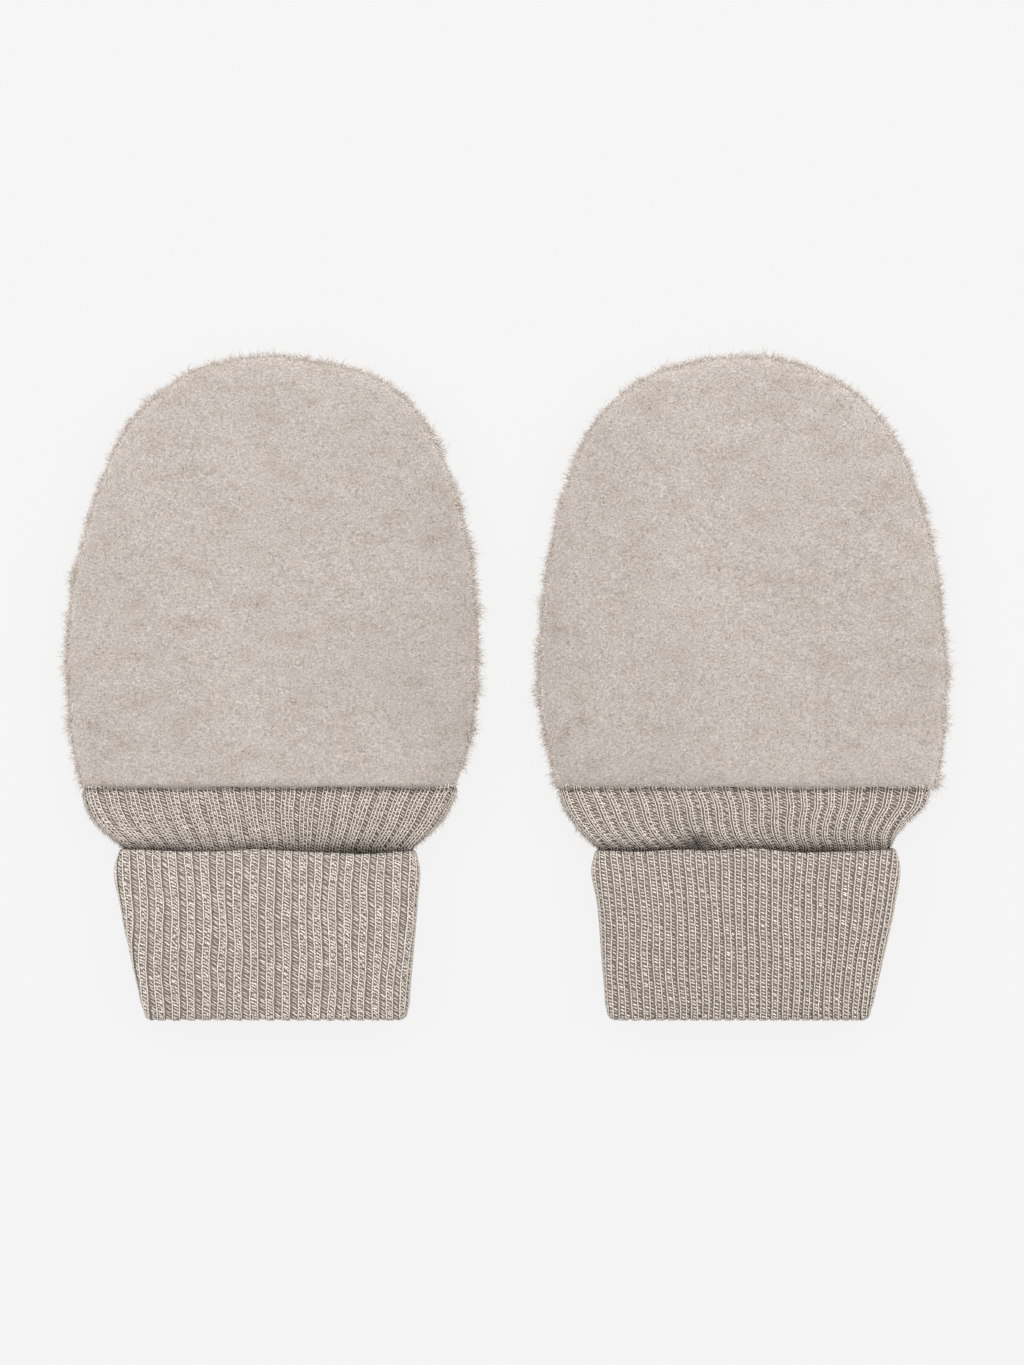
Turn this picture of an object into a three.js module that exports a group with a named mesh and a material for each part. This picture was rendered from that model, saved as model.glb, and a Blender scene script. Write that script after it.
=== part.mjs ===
// A pair of baby mittens with no thumb, laid flat: a fleece front and back on each, and a turned-up
// rib cuff. Millimetres: +X runs across the pair, +Y towards the finger ends, +Z up from the surface.
import * as THREE from "three";

// The pair
const BETWEEN_CENTRES = 96.4;
const SEAM_GAP = 0.3; // between pieces that are sewn together

// Thicknesses, all worked out from the cloth
const FLEECE_WALL = 3.4; // brushed fleece with its nap
const RIB_WALL = 1.8; // rib knit, to the top of its ribs
const RIB_RELIEF = 0.6; // from the valley to the top of a rib
const HAND_GAP = 0.6; // inside the cuff, between its front and its back
const LAYER_GAP = 0.3; // between the turn-up and the layer under it
const MIDDLE = HAND_GAP / 2 + 2 * RIB_WALL + LAYER_GAP; // height of the plane that halves a mitten

// The rounded edge of a fleece panel
const EDGE_WALL = 0.9; // thickness left at the outline
const FRONT_ROUND = 12; // how far in from the outline the front is still rising
const BACK_ROUND = 8; // the back is flat sooner, where it lies on the surface
const ROUND_POWER = 2.3; // 2 would be an ellipse, more is fuller
const LIP_ROUND = 2.5; // rounding above the straight seam
const LIP_DROP = 0.7; // how much lower the panel is at that seam
const PANEL_COLUMNS = 16;

// Outline of the fleece, one row for each section: mm above the seam, and its two edges
// from the mitten's centre line.
const LEFT_HAND = [
  { up: 0, left: -39.6, right: 37.9 },
  { up: 2.5, left: -40.2, right: 38.8 },
  { up: 7.6, left: -41.2, right: 40.2 },
  { up: 16.2, left: -42.2, right: 42.0 },
  { up: 24.8, left: -42.6, right: 42.4 },
  { up: 36.3, left: -42.0, right: 42.0 },
  { up: 47.8, left: -39.9, right: 41.0 },
  { up: 59.2, left: -36.9, right: 38.5 },
  { up: 68.3, left: -33.2, right: 35.0 },
  { up: 74.8, left: -29.6, right: 31.4 },
  { up: 79.7, left: -25.4, right: 27.6 },
  { up: 83.3, left: -20.8, right: 22.8 },
  { up: 86.2, left: -15.0, right: 16.4 },
  { up: 87.8, left: -8.8, right: 10.0 },
  { up: 88.4, left: -3.5, right: 4.5 },
];
const RIGHT_HAND = [
  { up: 0, left: -38.6, right: 39.5 },
  { up: 2.5, left: -39.4, right: 40.2 },
  { up: 7.6, left: -40.5, right: 41.3 },
  { up: 16.2, left: -41.9, right: 41.8 },
  { up: 24.8, left: -42.3, right: 41.9 },
  { up: 36.3, left: -41.5, right: 41.0 },
  { up: 47.8, left: -40.1, right: 39.5 },
  { up: 59.2, left: -37.6, right: 36.7 },
  { up: 68.3, left: -34.1, right: 33.0 },
  { up: 74.8, left: -30.8, right: 29.0 },
  { up: 79.7, left: -26.8, right: 25.0 },
  { up: 83.3, left: -22.2, right: 19.8 },
  { up: 86.2, left: -15.6, right: 14.4 },
  { up: 87.7, left: -8.4, right: 9.6 },
  { up: 88.3, left: -3.0, right: 4.6 },
];

// Outline of the band between the seam and the crease: mm below the seam, its two edges,
// and half its thickness over the ribs.
const LEFT_BAND = [
  { down: 0.3, left: -38.7, right: 36.9, half: 3.9 },
  { down: 3.9, left: -38.1, right: 36.2, half: 4.0 },
  { down: 7.2, left: -36.4, right: 34.8, half: 3.7 },
  { down: 10.2, left: -33.3, right: 31.8, half: 3.0 },
  { down: 12.4, left: -31.0, right: 29.3, half: 2.3 },
];
const RIGHT_BAND = [
  { down: 0.3, left: -37.9, right: 38.8, half: 3.9 },
  { down: 3.9, left: -37.0, right: 37.2, half: 4.0 },
  { down: 7.2, left: -35.2, right: 33.7, half: 3.7 },
  { down: 10.2, left: -32.8, right: 31.2, half: 3.0 },
  { down: 12.4, left: -30.6, right: 30.6, half: 2.3 },
];

// Outline of the turn-up: mm below the seam, and its two edges.
const LEFT_TURN_UP = [
  { down: 13.6, left: -31.8, right: 29.6 },
  { down: 16.4, left: -32.6, right: 30.2 },
  { down: 24.0, left: -31.5, right: 29.8 },
  { down: 35.5, left: -29.1, right: 28.8 },
  { down: 45.4, left: -26.8, right: 28.0 },
];
const RIGHT_TURN_UP = [
  { down: 13.6, left: -30.6, right: 31.6 },
  { down: 16.4, left: -31.2, right: 32.2 },
  { down: 24.0, left: -30.1, right: 31.2 },
  { down: 35.5, left: -29.1, right: 28.7 },
  { down: 45.4, left: -28.3, right: 26.4 },
];
const FOLD_DOWN = 47.8; // lowest point of the fold, below the seam
const TOP_ROUND = 0.7; // rounding of the turn-up's upper edge
const PRESSED_DEPTH = 0.65; // the turn-up's points lower than this lie flat on the surface
const FOLD_TURNS = [0.25, 0.5, 0.75]; // places round the fold, as shares of its half turn

// Heights of the points across one rib: a valley and a flat top.
const RIB_SHAPE = [-RIB_RELIEF, 0, 0];

const FLEECE_COLOUR = 0xd3ccc3;
const RIB_COLOUR = 0xb9b0a5;

function fleeceMaterial() {
  return new THREE.MeshStandardMaterial({
    color: FLEECE_COLOUR,
    roughness: 0.98,
    metalness: 0,
  });
}

function ribMaterial() {
  return new THREE.MeshStandardMaterial({
    color: RIB_COLOUR,
    roughness: 0.95,
    metalness: 0,
  });
}

function closedMesh(name, points, faces, material) {
  const geometry = new THREE.BufferGeometry();
  geometry.setAttribute(
    "position",
    new THREE.Float32BufferAttribute(points.flatMap((p) => p.toArray()), 3),
  );
  geometry.setIndex(faces.flat());
  geometry.computeVertexNormals();
  const mesh = new THREE.Mesh(geometry, material);
  mesh.name = name;
  return mesh;
}

// The arch of a hand part, from one end of the straight seam over the top to the other.
function archLines(rows) {
  const corners = [
    ...rows.map((row) => new THREE.Vector3(row.left, row.up, 0)),
    ...rows.toReversed().map((row) => new THREE.Vector3(row.right, row.up, 0)),
  ];
  return corners
    .slice(1)
    .map((corner, i) => new THREE.Line3(corners[i], corner));
}

function distanceToArch(lines, x, y) {
  const from = new THREE.Vector3(x, y, 0);
  const nearest = new THREE.Vector3();
  return Math.min(
    ...lines.map((line) =>
      line.closestPointToPoint(from, true, nearest).distanceTo(from),
    ),
  );
}

// 0 at the edge of a rounding, rising to 1 where it ends.
function rounding(distance, reach) {
  const left = 1 - Math.min(distance / reach, 1);
  return (1 - left ** ROUND_POWER) ** (1 / ROUND_POWER);
}

// One fleece panel, side +1 for the front and -1 for the back, as two sheets of points
// with a wall round their edge.
function fleecePanel(name, rows, side) {
  const arch = archLines(rows);
  const reach = side > 0 ? FRONT_ROUND : BACK_ROUND;
  const inner = SEAM_GAP / 2;
  const outerSheet = [];
  const innerSheet = [];
  for (const row of rows) {
    const lip = side > 0 ? LIP_DROP * (1 - rounding(row.up, LIP_ROUND)) : 0;
    for (let column = 0; column <= PANEL_COLUMNS; column++) {
      const share = (1 - Math.cos((Math.PI * column) / PANEL_COLUMNS)) / 2;
      const x = row.left + (row.right - row.left) * share;
      const rise = rounding(distanceToArch(arch, x, row.up), reach);
      const edge = inner + EDGE_WALL;
      const outer = edge + (MIDDLE - edge - lip) * rise;
      const under = Math.max(inner, outer - FLEECE_WALL);
      outerSheet.push(new THREE.Vector3(x, row.up, MIDDLE + side * outer));
      innerSheet.push(new THREE.Vector3(x, row.up, MIDDLE + side * under));
    }
  }
  return closedMesh(
    name,
    [...outerSheet, ...innerSheet],
    sheetFaces(rows.length, PANEL_COLUMNS + 1, side),
    fleeceMaterial(),
  );
}

// Faces of two sheets of rowCount by columnCount points and of the wall that joins their edges.
function sheetFaces(rowCount, columnCount, side) {
  const faces = [];
  const second = rowCount * columnCount;
  const quad = (a, b, c, d) => {
    faces.push(side > 0 ? [a, b, c] : [c, b, a]);
    faces.push(side > 0 ? [a, c, d] : [d, c, a]);
  };
  const at = (row, column) => row * columnCount + column;
  for (let row = 0; row < rowCount - 1; row++)
    for (let column = 0; column < columnCount - 1; column++) {
      const corners = [
        at(row, column),
        at(row, column + 1),
        at(row + 1, column + 1),
        at(row + 1, column),
      ];
      quad(...corners);
      quad(...corners.toReversed().map((i) => i + second));
    }
  const rim = [];
  for (let column = 0; column < columnCount - 1; column++)
    rim.push(at(0, column));
  for (let row = 0; row < rowCount - 1; row++)
    rim.push(at(row, columnCount - 1));
  for (let column = columnCount - 1; column > 0; column--)
    rim.push(at(rowCount - 1, column));
  for (let row = rowCount - 1; row > 0; row--) rim.push(at(row, 0));
  rim.forEach((a, i) => {
    const b = rim[(i + 1) % rim.length];
    quad(a, a + second, b + second, b);
  });
  return faces;
}

// A flattened ring, with two straight runs of half length `flat` joined by half circles of radius
// `half`. It starts at the left end and goes over the top.
function ringPath(centre, flat, half) {
  const path = new THREE.Path();
  path.absarc(centre - flat, 0, half, Math.PI, Math.PI / 2, true);
  path.absarc(centre + flat, 0, half, Math.PI / 2, -Math.PI / 2, true);
  path.absarc(centre - flat, 0, half, -Math.PI / 2, -Math.PI, true);
  return path;
}

// A ring of points round the cuff. A ribbed ring has each rib's shape in it, and a plain one has
// one point for each rib.
function cuffRing(ribs, { down, centre, flat, half, ribbed }) {
  const shape = ribbed ? RIB_SHAPE : [0];
  const count = ribs * shape.length;
  const path = ringPath(centre, flat, half);
  return Array.from({ length: count }, (_, i) => {
    const at = path.getPointAt(i / count);
    const along = path.getTangentAt(i / count);
    const raised = shape[i % shape.length];
    const height = MIDDLE + at.y + raised * along.x;
    const pressed = half === MIDDLE && height < PRESSED_DEPTH;
    return new THREE.Vector3(at.x - raised * along.y, -down, pressed ? 0 : height);
  });
}

// The middle and the straight run of a ring whose outer surface lies `half` from the mid-plane.
function span({ left, right }, half) {
  return { centre: (left + right) / 2, flat: (right - left) / 2 - half };
}

// The rings of a cuff in order: down the band, into the crease, down the hidden layer, round the
// end of the slit, up inside the turn-up, over its edge, down its outside, round the fold and up
// inside to the seam. Hidden runs are nearly straight, so they need fewer rings.
function cuffRings(band, turnUp) {
  const innerHalf = HAND_GAP / 2;
  const layerHalf = innerHalf + RIB_WALL;
  const slitHalf = layerHalf + LAYER_GAP;
  const foldHalf = (MIDDLE + innerHalf) / 2;
  const foldRadius = (MIDDLE - innerHalf) / 2;
  const bandRows = band.map((row) => ({ ...span(row, row.half), down: row.down, half: row.half }));
  const rows = turnUp.map((row) => ({ ...span(row, MIDDLE), down: row.down }));
  const top = rows[0];
  const end = rows.at(-1);
  const hidden = [top, rows[1], end];
  const edgeDown = top.down - TOP_ROUND;
  const plain = (row, half) => ({ ...row, half, ribbed: false });
  const ribbed = (row, half) => ({ ...row, half, ribbed: true });
  return [
    ...bandRows.map((row) => ribbed(row, row.half)),
    ...hidden.map((row) => plain(row, layerHalf)),
    plain({ ...end, down: FOLD_DOWN - RIB_WALL }, layerHalf + LAYER_GAP / 2),
    ...hidden.toReversed().map((row) => plain(row, slitHalf)),
    ribbed({ ...top, down: edgeDown }, slitHalf + TOP_ROUND),
    ribbed({ ...top, down: edgeDown }, MIDDLE - TOP_ROUND / 2),
    ...rows.map((row) => ribbed(row, MIDDLE)),
    ...FOLD_TURNS.map((share) =>
      ribbed(
        { ...end, down: FOLD_DOWN - foldRadius * (1 - Math.sin(Math.PI * share)) },
        foldHalf + foldRadius * Math.cos(Math.PI * share),
      ),
    ),
    ...hidden.toReversed().map((row) => plain(row, innerHalf)),
    ...[bandRows.at(-1), bandRows[2], bandRows[0]].map((row) => plain(row, row.half - RIB_WALL)),
  ];
}

// Joins two rings of points, with as many or fewer points on one of them.
function ringFaces(first, firstCount, second, secondCount) {
  const faces = [];
  let i = 0;
  let j = 0;
  while (i < firstCount || j < secondCount) {
    const a = first + (i % firstCount);
    const b = second + (j % secondCount);
    if (j === secondCount || (i < firstCount && (i + 1) / firstCount <= (j + 1) / secondCount)) {
      i++;
      faces.push([b, first + (i % firstCount), a]);
    } else {
      j++;
      faces.push([b, second + (j % secondCount), a]);
    }
  }
  return faces;
}

function cuff(name, ribs, band, turnUp) {
  const rings = cuffRings(band, turnUp).map((ring) => cuffRing(ribs, ring));
  const starts = [];
  let total = 0;
  for (const ring of rings) {
    starts.push(total);
    total += ring.length;
  }
  const faces = rings.flatMap((ring, i) => {
    const next = (i + 1) % rings.length;
    return ringFaces(starts[i], ring.length, starts[next], rings[next].length);
  });
  return closedMesh(name, rings.flat(), faces, ribMaterial());
}

function mitten(side, { centre, hand, band, turnUp, ribs }) {
  const group = new THREE.Group();
  group.add(fleecePanel(side + "_front", hand, 1));
  group.add(fleecePanel(side + "_back", hand, -1));
  group.add(cuff(side + "_cuff", ribs, band, turnUp));
  group.position.x = centre;
  return group;
}

const group = new THREE.Group();
group.add(
  mitten("left", {
    centre: -BETWEEN_CENTRES / 2,
    hand: LEFT_HAND,
    band: LEFT_BAND,
    turnUp: LEFT_TURN_UP,
    ribs: 41,
  }),
);
group.add(
  mitten("right", {
    centre: BETWEEN_CENTRES / 2,
    hand: RIGHT_HAND,
    band: RIGHT_BAND,
    turnUp: RIGHT_TURN_UP,
    ribs: 54,
  }),
);

// The pair stands with the middle of its footprint at the origin.
const middle = new THREE.Box3().setFromObject(group).getCenter(new THREE.Vector3());
for (const one of group.children) {
  one.position.x -= middle.x;
  one.position.y -= middle.y;
}

export default group;
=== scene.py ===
# A pair of baby mittens laid flat: brushed fleece hand parts on turned-up rib cuffs.
# Metres: X runs across the pair, Y towards the finger ends and Z up from the surface.
import math

import bpy
import numpy as np
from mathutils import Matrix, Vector, kdtree


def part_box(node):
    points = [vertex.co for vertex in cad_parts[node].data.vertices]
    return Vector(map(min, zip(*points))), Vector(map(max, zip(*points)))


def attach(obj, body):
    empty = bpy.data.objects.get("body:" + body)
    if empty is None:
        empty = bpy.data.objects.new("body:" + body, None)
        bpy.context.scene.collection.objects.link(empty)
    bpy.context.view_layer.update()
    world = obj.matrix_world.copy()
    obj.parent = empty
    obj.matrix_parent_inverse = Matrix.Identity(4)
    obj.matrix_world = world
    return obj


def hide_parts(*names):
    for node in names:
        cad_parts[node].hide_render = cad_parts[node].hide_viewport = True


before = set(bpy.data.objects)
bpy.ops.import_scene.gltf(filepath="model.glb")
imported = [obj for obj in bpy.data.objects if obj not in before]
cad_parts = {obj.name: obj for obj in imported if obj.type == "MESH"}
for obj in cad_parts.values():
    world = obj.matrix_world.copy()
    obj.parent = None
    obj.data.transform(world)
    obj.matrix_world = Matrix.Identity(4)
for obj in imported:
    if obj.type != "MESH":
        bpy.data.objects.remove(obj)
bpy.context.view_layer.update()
MM = 0.001
BODY = "root"
SIDES = ("left", "right")

# The photograph: its frame, the real size of a pixel, and the pixel where the origin lies
PHOTO_PIXELS = (1024, 1365)
PIXEL = 0.205 * MM
ORIGIN_PIXEL = (506.3, 688.0)
OUTLINE_HEIGHT = 4 * MM  # of the mittens' outline, where a pixel has that size
LENS = 100.0  # millimetres, as is the sensor's width
SENSOR = 36.0

# The light, and the floor that glows by itself
SKY = 0.74
SOFTBOXES = (
    {"name": "left_softbox", "place": (-0.9, 0.25, 0.7), "size": 0.7, "power": 3.8},
    {"name": "right_softbox", "place": (0.9, 0.25, 0.7), "size": 0.7, "power": 3.8},
    {"name": "top_softbox", "place": (0.0, 0.9, 1.0), "size": 0.8, "power": 4.8},
)
FLOOR_REACH = 3.0
FLOOR_GREY = 0.06
FLOOR_GLOW = 0.842
FLOOR_DROP = 0.02 * MM  # how far it lies under what rests on it

# The fleece
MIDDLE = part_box("left_cuff")[1].z / 2  # height of the plane that halves a mitten
NAP_REACH = 0.5 * MM  # how far the nap stands out of the cloth at the outline
BEND_REACH = 2.5 * MM  # how far the outline's bends are spread
FRONT_ROUND = 11 * MM  # how far in from the outline the front is still rising
BACK_ROUND = 8 * MM  # and the back
ROUND_POWER = 2.3  # 2 would round the edges as ellipses
EDGE_HALF = 0.15 * MM  # half the seam's gap at the outline
LIP_SHARE = 0.34  # how much of its height the fleece loses at the straight seam
LIP_ROUND = {"left": 1.4 * MM, "right": 4.6 * MM}  # over what length
OVERHANG = 0.15 * MM  # how far the fleece reaches over the knit at the straight seam
CENTRE_UP = 42 * MM  # how far above the straight seam the shell's rings close
TUCK = 0.03  # how far the edge is turned in, as a share of the way to the centre
SPACING = {"front": 0.9 * MM, "back": 1.3 * MM}  # between the shell's points
EDGE_SPACING = 0.12 * MM  # between its first two rings
RING_GROWTH = 1.25  # of that spacing, from ring to ring
ARCH_LENGTH = 230 * MM  # about, round the arch
SEAM_LENGTH = 76 * MM  # about, along the straight seam
FIBRES = {"front": 19000, "back": 4000, "edge": 15000}
TAPER = np.array([1.0, 0.75, 0.12])  # widths along a hair
# Painted light: the fleece's tone is lighter at its outline, where its edge turns down into shade
RIM_PAINTED_LIGHT = ((0.26, 0.9 * MM), (0.55, 0.3 * MM))  # how much paler the outline is, and how far in

# Waves in the fleece, as height and width: round the arch, over the panels and along the seam
ARCH_WAVES = (0.22 * MM, 9 * MM)
SWELL_WAVES = (0.12 * MM, 13 * MM)
DIMPLE_WAVES = (0.07 * MM, 2.4 * MM)
SEAM_WAVES = (0.3 * MM, 7 * MM)

# The knit
RIBS = {"left": 41, "right": 54}  # all round the cuff
YARN = 0.16 * MM  # radius
UNSEEN = 4.6 * MM  # the end of the turned-up tube, which no stitch is made for
SEAM_WAY = 2.1 * MM  # where the band comes out from under the fleece
EDGE_POWER = 3.2  # 2 would round the side edges of the cuff as half circles
SIDE_RIBS = 1.6  # how far from a side edge, in ribs, the recesses are still shallow
ROLL_REACH = 5.5 * MM  # and how far from the turn-up's rolled upper edge
FLATTENED = 0.8  # share of the relief that is lost there
RECESS_SIDE = 0.05  # width of a recess's slopes, in ribs
CLOTH_COLUMNS = 5  # points across a rib in the cloth under the stitches
CLOTH_ROW = 1.0 * MM  # between the rows of those points
CLOTH_DROP = 2.6  # from the top of the ribs to that cloth, in radii of the yarn
# Painted shade: the cloth under the stitches gets a dark tone, as it lies in shade in the holes
# between them
CLOTH_PAINTED_SHADE = 0.38
ROLL_WAVES = (0.32 * MM, 9 * MM)  # height and width of the waves in the turn-up's upper edge

# How much wider the band is right under the fleece, at its left and right end, and how far down
BAND_REACH = {"left": (-0.5 * MM, 1.5 * MM), "right": (-0.5 * MM, 0.0 * MM)}
BAND_REACH_DOWN = 3.7 * MM

# How the ribs wander: by how many ribs, and how fast that changes from rib to rib and along them
RIB_WAVE_WIDTH = 1.6
RIB_WAVES = (
    {"size": 0.11, "per_rib": 0.35, "reach": 9 * MM, "seed": 41},
    {"size": 0.035, "per_rib": 2, "reach": 2.5 * MM, "seed": 42},
)

# Painted shade on the knit: how dark it gets in the band's crease, in the shadow under the
# fleece's edge at the band's seam, and at the turn-up's rolled upper edge beside the crease, as a
# share of its tone, with the reach along the cloth
CREASE_SHADE = {"dark": 0.73, "reach": 2.9 * MM}
SEAM_SHADOW = {"dark": 0.55, "reach": 0.38 * MM}
ROLL_SHADE = {"dark": 0.24, "reach": 1.6 * MM, "way": 1.2 * MM}
BAND_TONE = 0.98  # the band's tone, as a share of the turn-up's

# A dip in the right cuff's band, at the crease
PUCKER = np.array([39.0 * MM, -31.9 * MM])
PUCKER_SIZE = np.array([2.8 * MM, 2.0 * MM])
PUCKER_DEPTH = 1.6 * MM
PUCKER_PULL = 0.4  # how far the ribs draw together, as a share of their distance
# Painted shade in the dip, as a share of the tone
PUCKER_SHADE = 0.5

# Fibres on the ends of each band: which end, how many fibres and over how many ribs. The left
# end of the left band is felted.
END_FUZZ = {
    "left": [(-1, 1500, 0.7), (1, 320, 1.2)],
    "right": [(-1, 320, 1.2), (1, 450, 1.6)],
}

# How uneven the stitches are: for places in ribs and rows, for heights in radii of the yarn, and
# for radius and tone as shares
LINE_SPREAD = {"rib": 0.012, "height": 0.10, "radius": 0.08, "tone": 0.05}
STROKE_SPREAD = {"rib": 0.015, "row": 0.16, "height": 0.2, "radius": 0.12, "tone": 0.11}

# How an upright thread changes over each row: to the side in ribs, and in thickness and tone
LINE_WAVE = {"rib": 0.010, "knot": 0.13}

# What one rib looks like, in shares of its width. The recess between two ribs has a start, an end
# and a depth. A line is an upright thread along the rib. A stroke is a slanting loop in each row,
# or in every second one, with its levels at both ends in millimetres from the top of the ribs,
# and drop is how many rows it comes down.
# Painted shade: in each pattern the strokes in the recess have the darkest tones, as that yarn
# lies in shade
PATTERNS = {
    "left_turn_up": {
        "row": 0.66 * MM,
        "recess": (0.52, 0.79, 0.38 * MM),
        "lines": [
            dict(at=0.00, tone=1.11, thick=0.90),
            dict(at=0.45, tone=1.06, thick=0.78),
        ],
        "strokes": [
            dict(across=(0.06, 0.25), levels=(0, 0), drop=0.6, start=0, every=1, tone=1.22),
            dict(across=(0.23, 0.41), levels=(0, 0), drop=0.7, start=0.4, every=1, tone=1.20),
            dict(across=(0.57, 0.96), levels=(-0.3, 0), drop=1.2, start=0, every=2, tone=1.08),
            dict(across=(0.52, 0.92), levels=(-0.3, -0.1), drop=0.8, start=1, every=2, tone=0.92),
        ],
    },
    "right_turn_up": {
        "row": 0.71 * MM,
        "recess": (0.65, 0.97, 0.42 * MM),
        "lines": [
            dict(at=-0.02, tone=1.00, thick=0.82),
            dict(at=0.49, tone=1.05, thick=0.84),
        ],
        "strokes": [
            dict(across=(0.07, 0.41), levels=(0, 0), drop=0.50, start=0, every=1, tone=1.17),
            dict(across=(0.56, 0.84), levels=(0, -0.2), drop=0.6, start=0.5, every=2, tone=1.12),
            dict(across=(0.56, 0.82), levels=(0, -0.3), drop=0.4, start=1.5, every=2, tone=0.90),
        ],
    },
    "left_band": {
        "row": 0.66 * MM,
        "recess": (0.27, 0.54, 0.25 * MM),
        "lines": [
            dict(at=0.00, tone=1.06, thick=0.80),
            dict(at=0.215, tone=1.10, thick=0.80),
            dict(at=0.59, tone=1.00, thick=0.75),
            dict(at=0.79, tone=1.09, thick=0.80),
        ],
        "strokes": [
            dict(across=(0.03, 0.19), levels=(0, 0), drop=0.6, start=0, every=1, tone=0.98),
            dict(across=(0.28, 0.53), levels=(0, 0), drop=0.8, start=0.5, every=1, tone=0.94),
            dict(across=(0.63, 0.76), levels=(0, 0), drop=0.5, start=0.2, every=1, tone=0.98),
            dict(across=(0.83, 0.97), levels=(0, 0), drop=0.5, start=0.7, every=1, tone=0.96),
        ],
    },
    "right_band": {
        "row": 0.66 * MM,
        "recess": (0.24, 0.50, 0.28 * MM),
        "lines": [
            dict(at=0.00, tone=1.12, thick=0.80),
            dict(at=0.57, tone=1.04, thick=0.75),
            dict(at=0.77, tone=1.08, thick=0.75),
        ],
        "strokes": [
            dict(across=(0.05, 0.26), levels=(0, 0), drop=0.4, start=0, every=1, tone=1.02),
            dict(across=(0.27, 0.53), levels=(0, 0), drop=0.5, start=0.6, every=1, tone=0.88),
            dict(across=(0.83, 0.95), levels=(0, 0), drop=0.4, start=0.3, every=1, tone=1.00),
        ],
    },
}

# How the ribs on top lean on their way down, at the left edge, in the middle and at the right
# edge. In the turn-ups they otherwise keep their distances, and the underside takes up the taper.
LEANS = {
    "left_turn_up": (0.0 * MM, 0.0 * MM, -2.5 * MM),
    "right_turn_up": (1.2 * MM, 0.6 * MM, -5.5 * MM),
    "left_band": (0.0 * MM, 1.2 * MM, 0.0 * MM),
    "right_band": (0.0 * MM, 3.4 * MM, 2.0 * MM),
}


def smooth(x, xs, ys):
    """A smooth curve through the points (xs, ys), level beyond its ends."""
    xs = np.asarray(xs, float)
    ys = np.asarray(ys, float)
    slopes = np.gradient(ys, xs)
    x = np.clip(x, xs[0], xs[-1])
    i = np.clip(np.searchsorted(xs, x) - 1, 0, len(xs) - 2)
    step = xs[i + 1] - xs[i]
    t = (x - xs[i]) / step
    rise = 3 * t**2 - 2 * t**3
    start = (1 - rise) * ys[i] + (t**3 - 2 * t**2 + t) * step * slopes[i]
    return start + rise * ys[i + 1] + (t**3 - t**2) * step * slopes[i + 1]


def waves(points, size, seed):
    """Uneven heights, mostly from -1 to 1, whose bumps are about `size` across."""
    count = 28
    draw = np.random.default_rng(seed)
    turns = draw.normal(scale=2.2 / size, size=(count, points.shape[-1]))
    phases = draw.uniform(0, 2 * math.pi, count)
    return np.sin(points @ turns.T + phases).sum(-1) / math.sqrt(count)


def unit(vectors):
    """The vectors, each with length 1."""
    return vectors / np.maximum(np.linalg.norm(vectors, axis=-1, keepdims=True), 1e-12)


def sections(node):
    """The rows of points of a solid, as columns y, left, right, low and high, in rising y."""
    rows = {}
    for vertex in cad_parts[node].data.vertices:
        rows.setdefault(round(vertex.co.y, 5), []).append(vertex.co)
    return np.array(
        [
            (
                y,
                min(p.x for p in row),
                max(p.x for p in row),
                min(p.z for p in row),
                max(p.z for p in row),
            )
            for y, row in sorted(rows.items())
        ]
    )


def mesh_object(name, points, faces, material, tone):
    """A smooth-shaded piece, with a row of corners for each face and a tone for each point."""
    mesh = bpy.data.meshes.new(name)
    mesh.vertices.add(len(points))
    mesh.vertices.foreach_set("co", np.ascontiguousarray(points, np.float32).ravel())
    mesh.loops.add(faces.size)
    mesh.loops.foreach_set("vertex_index", faces.ravel().astype(np.int32))
    mesh.polygons.add(len(faces))
    starts = np.arange(0, faces.size, faces.shape[1], dtype=np.int32)
    mesh.polygons.foreach_set("loop_start", starts)
    mesh.polygons.foreach_set("use_smooth", np.ones(len(faces), bool))
    mesh.update(calc_edges=True)
    layer = mesh.attributes.new("tone", "FLOAT", "POINT")
    layer.data.foreach_set("value", np.ascontiguousarray(tone, np.float32).ravel())
    mesh.materials.append(material)
    piece = bpy.data.objects.new(name, mesh)
    bpy.context.scene.collection.objects.link(piece)
    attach(piece, BODY)
    return piece


def grid_faces(rows, columns, closed):
    """Quads over rows of points, joined round if closed."""
    last = columns if closed else columns - 1
    row, column = np.meshgrid(np.arange(rows - 1), np.arange(last), indexing="ij")
    nearby = (column + 1) % columns
    corners = [
        row * columns + column,
        row * columns + nearby,
        (row + 1) * columns + nearby,
        (row + 1) * columns + column,
    ]
    return np.stack(corners, -1).reshape(-1, 4)


def strip_faces(count, rings, sides):
    """Quads of `count` strips, each of `rings` rings of `sides` points."""
    one = grid_faces(rings, sides, False)
    return (one[None] + (np.arange(count) * rings * sides)[:, None, None]).reshape(-1, 4)


def along(paths):
    """Unit directions along the paths, at each of their points."""
    return unit(np.gradient(paths, axis=1))


# Materials


def node_tree(name):
    """A new material, with its nodes and its shader."""
    material = bpy.data.materials.new(name)
    material.use_nodes = True
    tree = material.node_tree
    shader = tree.nodes["Principled BSDF"]
    return material, tree, shader


def noise(tree, where, scale, detail=2.0, roughness=0.6):
    node = tree.nodes.new("ShaderNodeTexNoise")
    node.inputs["Scale"].default_value = scale
    node.inputs["Detail"].default_value = detail
    node.inputs["Roughness"].default_value = roughness
    tree.links.new(where, node.inputs["Vector"])
    return node.outputs["Fac"]


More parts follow.
